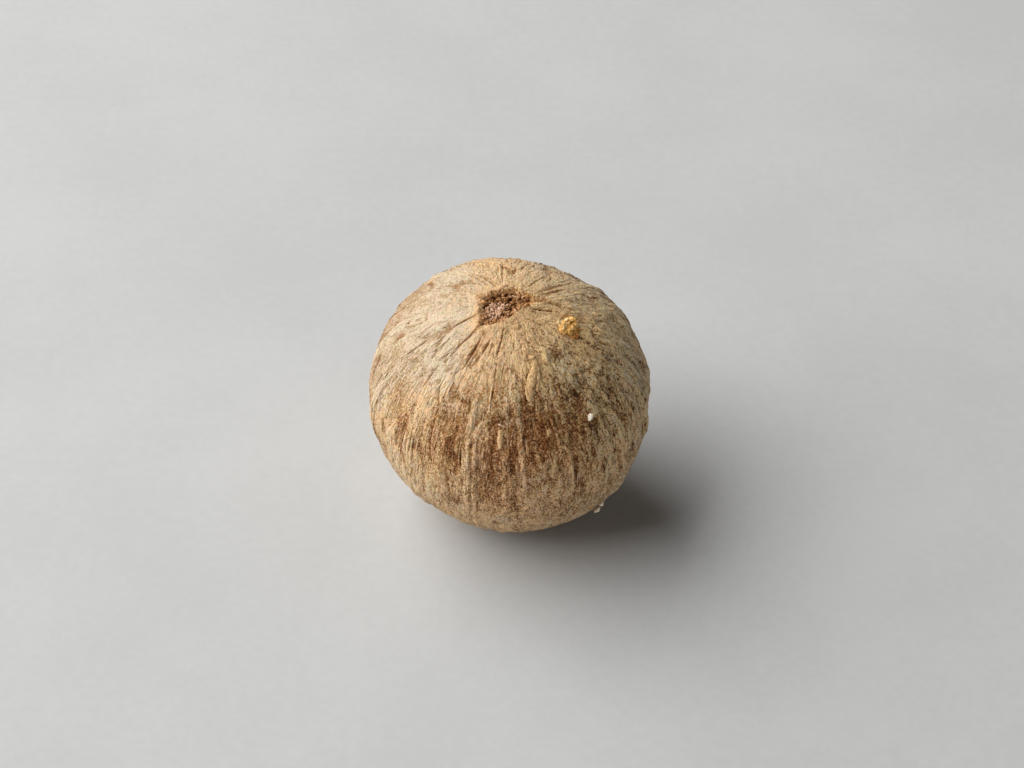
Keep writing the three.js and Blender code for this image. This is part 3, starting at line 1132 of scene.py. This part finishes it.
class Finish:
    """A material and its node tree, with short ways to add the nodes that the finishes below share."""

    def __init__(self, name):
        self.material = bpy.data.materials.new(name)
        self.material.use_nodes = True
        self.nodes = self.material.node_tree.nodes
        self.links = self.material.node_tree.links
        self.shader = self.nodes["Principled BSDF"]

    def feed(self, socket, value):
        """Links value to the socket if it is another node's socket, or sets it there."""
        if isinstance(value, bpy.types.NodeSocket):
            self.links.new(value, socket)
        elif hasattr(value, "__len__") and len(value) == 3 and len(socket.default_value) == 4:
            socket.default_value = (*value, 1)
        else:
            socket.default_value = value

    def set(self, **values):
        """Sets or links sockets of the shader, named with low lines in place of their spaces."""
        for name, value in values.items():
            self.feed(self.shader.inputs[name.replace("_", " ")], value)

    def add(self, kind, inputs, output=0, **settings):
        """Adds a node, sets it up and returns one of its outputs."""
        made = self.nodes.new("ShaderNode" + kind)
        for key, value in settings.items():
            setattr(made, key, value)
        for socket, value in inputs.items():
            self.feed(made.inputs[socket], value)
        return made.outputs[output]

    def value(self, name):
        """One of the piece's own named values."""
        return self.add("Attribute", {}, "Fac", attribute_name=name)

    def place(self, name):
        """One of the piece's own named places."""
        return self.add("Attribute", {}, "Vector", attribute_name=name)

    def noise(self, place, scale, detail=2.0, roughness=0.5):
        """Cloudy noise, from 0 to 1."""
        sockets = {"Vector": place, "Scale": scale, "Detail": detail, "Roughness": roughness}
        return self.add("TexNoise", sockets, "Fac")

    def cells(self, place, scale):
        """Scattered grains: the distance from each one's middle, and two random shares of each."""
        distance = self.add("TexVoronoi", {"Vector": place, "Scale": scale}, "Distance", feature="F1")
        first = self.add("SeparateColor", {"Color": distance.node.outputs["Color"]}, "Red")
        return distance, first, first.node.outputs["Green"]

    def stirred(self, place, scale, amount):
        """Places moved about by a noise, so that what is drawn on them looks irregular."""
        push = self.add("TexNoise", {"Vector": place, "Scale": scale, "Detail": 1.0}, "Color")
        centred = self.add("VectorMath", {0: push, 1: (0.5, 0.5, 0.5)}, operation="SUBTRACT")
        scaled = self.add("VectorMath", {0: centred, "Scale": amount}, operation="SCALE")
        return self.add("VectorMath", {0: place, 1: scaled}, operation="ADD")

    def maths(self, operation, first, second=0.0, third=0.0):
        """A sum, product or other operation on values."""
        return self.add("Math", {0: first, 1: second, 2: third}, operation=operation)

    def total(self, start, *parts):
        """start, plus each value times its weight."""
        for value, weight in parts:
            start = self.maths("MULTIPLY_ADD", value, weight, start)
        return start

    def between(self, value, low, high, to_low=0.0, to_high=1.0):
        """Value carried from the range low to high to another range, with smooth ends."""
        sockets = {"Value": value, "From Min": low, "From Max": high, "To Min": to_low, "To Max": to_high}
        return self.add("MapRange", sockets, "Result", interpolation_type="SMOOTHSTEP")

    def mix(self, share, first, second, blend="MIX"):
        """Two colours mixed."""
        return self.add("Mix", {0: share, 6: first, 7: second}, 2, data_type="RGBA", blend_type=blend)

    def ramp(self, value, colours):
        """A run of colours evenly spaced from 0 to 1."""
        colour_of = self.add("ValToRGB", {"Fac": value}, "Color")
        elements = colour_of.node.color_ramp.elements
        for step in range(1, len(colours) - 1):
            elements.new(step / (len(colours) - 1))
        for element, shade in zip(elements, colours):
            element.color = (*shade, 1)
        return colour_of

    def bump(self, height, distance):
        """A bump of that height in metres."""
        return self.add("Bump", {"Height": height, "Distance": distance, "Strength": 1.0}, "Normal")


def skin_patterns(skin, granule):
    """The noises, cells and slits that the skin's colour and bumps share. granule is a granule's width."""
    grain_place = skin.place("grain_place")
    strand_place = skin.place("strand_place")
    object_place = skin.add("TexCoord", {}, "Object")
    at = SimpleNamespace()
    at.worn, at.relief, at.crease = skin.value("worn"), skin.value("height"), skin.value("crease")
    at.fine = skin.noise(grain_place, 2.6, 3.0, 0.68)
    at.finest = skin.noise(object_place, 1.8 / granule, 2.0, 0.65)
    at.streaks = skin.noise(strand_place, 2.3, 3.0, 0.6)
    at.clouds = skin.noise(grain_place, 0.8, 2.0, 0.6)
    at.grain_edge, at.grain_shade, at.grain_hue = skin.cells(skin.stirred(grain_place, 1.1, 0.4), 1.8)
    at.granule_edge, at.granule_shade, at.granule_share = skin.cells(
        skin.stirred(object_place, 0.6 / granule, 0.7 * granule), 1 / granule
    )

    # Slits: thin broken lines between the fibres, where a noise drawn out down the seed crosses its middle.
    # They darken the colour, partly as painted shade.
    slit = skin.maths("ABSOLUTE", skin.maths("SUBTRACT", skin.noise(strand_place, 1.7, 1.5, 0.5), 0.5))
    slit = skin.between(slit, 0.006, 0.030, 1.0, 0.0)
    slit = skin.maths("MULTIPLY", slit, skin.between(skin.noise(grain_place, 0.55, 1.0), 0.46, 0.60))
    fibrous = skin.total(0.0, (skin.value("rough"), 1.0), (skin.value("stringy"), 0.5))
    at.slit = skin.maths("MULTIPLY", slit, fibrous)

    # Grain: about 0, higher on raised grains and lower in the gaps between them. In the colour this makes
    # raised grains paler and gaps darker, partly as painted light and shade.
    grain = skin.total(
        -1.74, (at.fine, 0.80), (at.finest, 1.95), (at.streaks, 0.50), (at.grain_shade, 0.16),
        (at.relief, 0.20), (at.grain_edge, -0.16)
    )
    at.grain = skin.maths("MULTIPLY", grain, skin.value("rough"))

    # Pebbles: granules of the under layer, each of its own tone, and darker round its edge, partly as
    # painted shade.
    pebbles = skin.total(-0.02, (at.granule_shade, 0.26), (at.granule_edge, -0.28))
    at.pebbles = skin.maths("MULTIPLY", pebbles, skin.between(at.worn, 0.10, 0.70, 0.45, 1.0))
    return at


def skin_tone(skin, at):
    """The skin's tone, from 0, dark, to 1, pale. It falls as the coat wears off, grain by grain. It is also
    lower in slits, creases and gaps and higher on raised parts, partly as painted shade and light.
    """
    # Streaks along the strings, partly painted light and shade.
    strings = skin.maths("MULTIPLY", skin.maths("SUBTRACT", at.streaks, 0.5), skin.value("stringy"))
    holds = skin.total(-0.12, (at.granule_share, 0.22), (at.clouds, 0.5), (at.grain, 0.6))
    bare = skin.between(skin.maths("SUBTRACT", at.worn, holds), -0.25, 0.25)
    return skin.total(
        1.063, (at.worn, -0.60), (bare, -0.13), (at.grain, 1.0), (strings, 1.2), (at.pebbles, 1.0),
        (at.slit, -0.42), (at.crease, -0.70)
    )


def tinted(skin, at, surface, chosen):
    """The surface made greyish or golden grain by grain, and greenish or pinkish in blotches."""
    stray_hue = skin.total(-0.44, (skin.value("hue"), 1.0), (at.grain_hue, 0.44), (at.granule_share, 0.44))
    tint_of = skin.mix(skin.between(stray_hue, 0.0, 1.0), chosen.cool_tint, chosen.warm_tint)
    surface = skin.mix(1.0, surface, tint_of, "MULTIPLY")
    blotch = skin.total(-0.15, (at.clouds, 1.0), (skin.value("flush"), 0.20), (at.granule_shade, 0.30))
    blotch_of = skin.mix(skin.between(blotch, 0.35, 0.65), chosen.green_tint, chosen.pink_tint)
    return skin.mix(1.0, surface, blotch_of, "MULTIPLY")


def gilded(skin, at, surface, chosen):
    """The surface covered with golden resin where the piece's own value gold says so."""
    # Paler where the relief stands high, as on the tops of the resin strands, and darker in slits and
    # creases and under the strands: partly painted light and shade.
    golden_tone = skin.total(0.32, (at.grain, 0.75), (at.relief, 0.55), (at.slit, -0.3), (at.crease, -0.6))
    golden = skin.ramp(golden_tone, (chosen.brown, chosen.golden, chosen.gold, chosen.pale))
    return skin.mix(skin.value("gold"), surface, golden)


def pepper_skin():
    """The dry skin, whose tone runs from dark pits through brown, golden and tan to pale raised fibres."""
    chosen = bpy.context.scene.peppercorn_seed
    skin = Finish("pepper_skin")
    at = skin_patterns(skin, chosen.granule)
    tone = skin_tone(skin, at)
    surface = skin.ramp(tone, (chosen.dark, chosen.brown, chosen.golden, chosen.tan, chosen.pale))
    surface = gilded(skin, at, tinted(skin, at, surface, chosen), chosen)
    # The scar pit's floor, mixed between dark and brown: partly its own colour and partly painted shade in
    # the pit.
    floor_of_scar = skin.mix(at.granule_shade, chosen.dark, chosen.brown)
    in_scar = skin.between(skin.total(-0.4, (skin.value("scar"), 1.0), (at.finest, 0.8)), 0.35, 0.65)
    height = skin.total(
        0.0, (at.fine, 0.8), (at.finest, 0.60), (at.streaks, 0.4), (at.grain_edge, -0.35), (at.slit, -0.25),
        (at.pebbles, 1.2)
    )
    skin.set(
        Base_Color=skin.mix(in_scar, surface, floor_of_scar),
        Roughness=skin.between(tone, 0.2, 1.1, 0.85, 0.6),
        Diffuse_Roughness=0.6,
        Specular_IOR_Level=0.2,
        Sheen_Weight=0.20,
        Sheen_Roughness=0.35,
        Sheen_Tint=(1.0, 0.90, 0.76),
        Normal=skin.bump(height, chosen.fine_bump),
    )
    return skin.material


def scar_finish():
    """Dry crumbly shreds, each of its own tone between dark, brown and pink, and rusty near the rim."""
    chosen = bpy.context.scene.peppercorn_scar
    scar = Finish("scar_shred")
    streaks = scar.noise(scar.add("TexCoord", {}, "Object"), 30000.0, 3.0, 0.65)
    tone = scar.total(-0.65, (scar.value("tone"), 1.0), (streaks, 1.3))
    rust = scar.maths("MULTIPLY", scar.value("rust"), scar.between(tone, 0.0, 0.35))
    surface = scar.ramp(tone, (chosen.dark, chosen.brown, chosen.pink))
    scar.set(
        Base_Color=scar.mix(rust, surface, chosen.rust),
        Roughness=0.7,
        Specular_IOR_Level=0.2,
        Normal=scar.bump(streaks, 0.010 * MM),
    )
    return scar.material


def amber_finish():
    """Dried amber resin: glassy lumps, each of its own tone, that let a little light through."""
    chosen = bpy.context.scene.peppercorn_crumbs
    amber = Finish("amber_resin")
    clouds = amber.noise(amber.add("TexCoord", {}, "Object"), 26000.0, 2.0, 0.6)
    tone = amber.total(-0.4, (amber.value("tone"), 1.0), (clouds, 0.8))
    shade = amber.mix(amber.between(tone, 0.0, 0.5), chosen.amber_deep, chosen.amber)
    amber.set(
        Base_Color=amber.mix(amber.between(tone, 0.55, 1.0), shade, chosen.amber_pale),
        Roughness=0.4,
        Specular_IOR_Level=0.4,
        Subsurface_Weight=0.3,
        Subsurface_Scale=0.05 * MM,
        Subsurface_Radius=(1.0, 0.8, 0.5),
    )
    return amber.material


def pale_crumb_finish():
    """Whitish crumbs with a dry, finely mottled surface, pinkish where their tone is low: the flake's own
    pink, and painted shade on the lower lumps of each heap.
    """
    chosen = bpy.context.scene.peppercorn_crumbs
    crumb = Finish("pale_crumb")
    mottle = crumb.noise(crumb.add("TexCoord", {}, "Object"), 30000.0, 3.0, 0.6)
    # The low-tone colour: the flake's own pink, and painted shade on the lower lumps of each heap.
    pinkish = [0.80 * chosen.white[0], 0.58 * chosen.white[1], 0.46 * chosen.white[2]]
    tone = crumb.total(-0.3, (crumb.value("tone"), 0.7), (mottle, 0.9))
    crumb.set(
        Base_Color=crumb.mix(crumb.between(tone, 0.0, 0.6), pinkish, chosen.white),
        Roughness=0.55,
        Normal=crumb.bump(mottle, 0.008 * MM),
    )
    return crumb.material


def floor_finish():
    """A plain pale surface with faint cloudy and speckled shading."""
    chosen = bpy.context.scene.peppercorn_stage
    floor = Finish("pale_floor")
    place = floor.add("TexCoord", {}, "Object")
    clouds = floor.noise(place, 220.0, 3.0, 0.6)
    specks = floor.noise(place, 5200.0, 2.0, 0.5)
    shade = floor.between(floor.maths("MULTIPLY_ADD", specks, 0.5, clouds), 0.5, 1.0)
    darker = [0.93 * part for part in chosen.floor_colour]
    floor.set(
        Base_Color=floor.mix(shade, darker, chosen.floor_colour),
        Roughness=0.7,
        Specular_IOR_Level=0.3,
    )
    return floor.material


# ---------------------------------------------------------------- operators

class PEPPERCORN_OT_seed(bpy.types.Operator):
    """Make the peppercorn's skin"""

    bl_idname = "peppercorn.make_seed"
    bl_label = "Peppercorn"

    def execute(self, context):
        points, values = seed_skin()
        attributes = {name: value[None] for name, value in values.items()}
        seed = add_skins("seed_coat", points[None], pepper_skin(), attributes, map_name="OFBake")
        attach(seed, "root")
        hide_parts("peppercorn")
        return {"FINISHED"}


class PEPPERCORN_OT_strands(bpy.types.Operator):
    """Lay the ribs' strands, the loose fibres and the golden resin on the coat, in the coat's own finish"""

    bl_idname = "peppercorn.make_strands"
    bl_label = "Strands and fibres"

    def execute(self, context):
        finish = bpy.data.objects["seed_coat"].active_material
        makers = {"rib_strands": rib_strands, "coat_fibres": coat_fibres, "gold_strands": gold_strands}
        for name, maker in makers.items():
            skins, values = maker()
            strands = add_skins(name, skins, finish, values)
            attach(strands, "root")
        return {"FINISHED"}


class PEPPERCORN_OT_scar(bpy.types.Operator):
    """Fill the scar with its crumbly shreds"""

    bl_idname = "peppercorn.make_scar"
    bl_label = "Scar shreds"

    def execute(self, context):
        skins, tone, rust = scar_rubble()
        attributes = {"tone": over_skins(tone, skins), "rust": over_skins(rust, skins)}
        shreds = add_skins("scar_shreds", skins, scar_finish(), attributes)
        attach(shreds, "root")
        return {"FINISHED"}


class PEPPERCORN_OT_crumbs(bpy.types.Operator):
    """Put the amber crumb and the pale crumbs on the seed"""

    bl_idname = "peppercorn.make_crumbs"
    bl_label = "Crumbs"

    def execute(self, context):
        chance = np.random.default_rng(CRUMB_SEED)
        skins, tone = amber_heaps(context.scene.peppercorn_crumbs.amber_lump, chance)
        tones = {"tone": over_skins(tone, skins)}
        amber = add_skins("amber_crumb", skins, amber_finish(), tones, smooth=False)
        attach(amber, "root")
        skins, tone = pale_heaps(chance)
        tones = {"tone": over_skins(tone, skins)}
        pale = add_skins("pale_crumbs", skins, pale_crumb_finish(), tones, smooth=False)
        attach(pale, "root")
        return {"FINISHED"}


class PEPPERCORN_OT_stage(bpy.types.Operator):
    """Make the floor, the lights and the camera"""

    bl_idname = "peppercorn.make_stage"
    bl_label = "Stage"

    def execute(self, context):
        chosen = context.scene.peppercorn_stage
        half = chosen.floor_width / 2
        mesh = bpy.data.meshes.new("floor")
        corners = [(-half, -half, 0), (half, -half, 0), (half, half, 0), (-half, half, 0)]
        mesh.from_pydata(corners, [], [(0, 1, 2, 3)])
        mesh.materials.append(floor_finish())
        floor = bpy.data.objects.new("floor", mesh)
        context.scene.collection.objects.link(floor)
        add_lights(chosen)
        add_camera(chosen)
        return {"FINISHED"}


def add_lamp(name, power, distance):
    """A rectangular lamp that faces the seed, from the direction and of the shape that LAMPS gives."""
    towards, shares = LAMPS[name]
    lamp = bpy.data.lights.new(name, "AREA")
    lamp.shape = "RECTANGLE"
    lamp.size, lamp.size_y = (share * distance for share in shares)
    lamp.energy = power
    placed = bpy.data.objects.new(name, lamp)
    bpy.context.scene.collection.objects.link(placed)
    placed.location = Vector(towards).normalized() * distance
    facing = Vector((0, 0, REST_HEIGHT * MM)) - placed.location
    placed.rotation_euler = facing.to_track_quat("-Z", "Y").to_euler()


def add_lights(chosen):
    """The three lamps, and faint light from all round."""
    add_lamp("window", chosen.window_power, chosen.lamp_distance)
    add_lamp("fill", chosen.fill_power, chosen.lamp_distance)
    add_lamp("rim", chosen.rim_power, chosen.lamp_distance)
    world = bpy.data.worlds.new("room")
    bpy.context.scene.world = world
    world.use_nodes = True
    background = world.node_tree.nodes["Background"].inputs
    background["Color"].default_value = ROOM_LIGHT
    background["Strength"].default_value = chosen.ambient


def add_camera(chosen):
    """A camera that looks down at the seed from the front, at a point a little off its middle."""
    lens = bpy.data.cameras.new("camera")
    lens.lens = chosen.lens
    lens.sensor_width = 36
    lens.clip_start = 0.001
    lens.clip_end = 1.0
    camera = bpy.data.objects.new("camera", lens)
    bpy.context.scene.collection.objects.link(camera)
    height = chosen.camera_height
    back = Vector((0, -math.cos(height), math.sin(height)))
    up = Vector((0, math.sin(height), math.cos(height)))
    aside = Vector((AIM_RIGHT, 0, 0)) * MM + up * (AIM_UP * MM)
    camera.location = Vector((0, 0, REST_HEIGHT * MM)) + back * chosen.camera_distance + aside
    camera.rotation_euler = (-back).to_track_quat("-Z", "Y").to_euler()
    bpy.context.scene.camera = camera
    bpy.context.scene.view_settings.view_transform = "Standard"


class PEPPERCORN_PT_panel(bpy.types.Panel):
    """Lists the steps that make the peppercorn"""

    bl_label = "Peppercorn"
    bl_space_type = "VIEW_3D"
    bl_region_type = "UI"
    bl_category = "Peppercorn"

    def draw(self, context):
        for operator in OPERATORS:
            self.layout.operator(operator.bl_idname)


OPERATORS = (
    PEPPERCORN_OT_seed, PEPPERCORN_OT_strands, PEPPERCORN_OT_scar, PEPPERCORN_OT_crumbs, PEPPERCORN_OT_stage
)
SETTINGS = {
    "peppercorn_seed": SeedSettings,
    "peppercorn_fibres": FibreSettings,
    "peppercorn_scar": ScarSettings,
    "peppercorn_crumbs": CrumbSettings,
    "peppercorn_stage": StageSettings,
}


def register():
    """Registers the settings, the operators and the panel."""
    for name, group in SETTINGS.items():
        bpy.utils.register_class(group)
        setattr(bpy.types.Scene, name, bpy.props.PointerProperty(type=group))
    for made in (*OPERATORS, PEPPERCORN_PT_panel):
        bpy.utils.register_class(made)


def unregister():
    """Takes back what register did."""
    for made in reversed((*OPERATORS, PEPPERCORN_PT_panel)):
        bpy.utils.unregister_class(made)
    for name, group in SETTINGS.items():
        delattr(bpy.types.Scene, name)
        bpy.utils.unregister_class(group)


def main():
    """Makes the stage and every piece."""
    register()
    bpy.ops.peppercorn.make_stage()
    bpy.ops.peppercorn.make_seed()
    bpy.ops.peppercorn.make_strands()
    bpy.ops.peppercorn.make_scar()
    bpy.ops.peppercorn.make_crumbs()


if __name__ == "__main__":
    main()
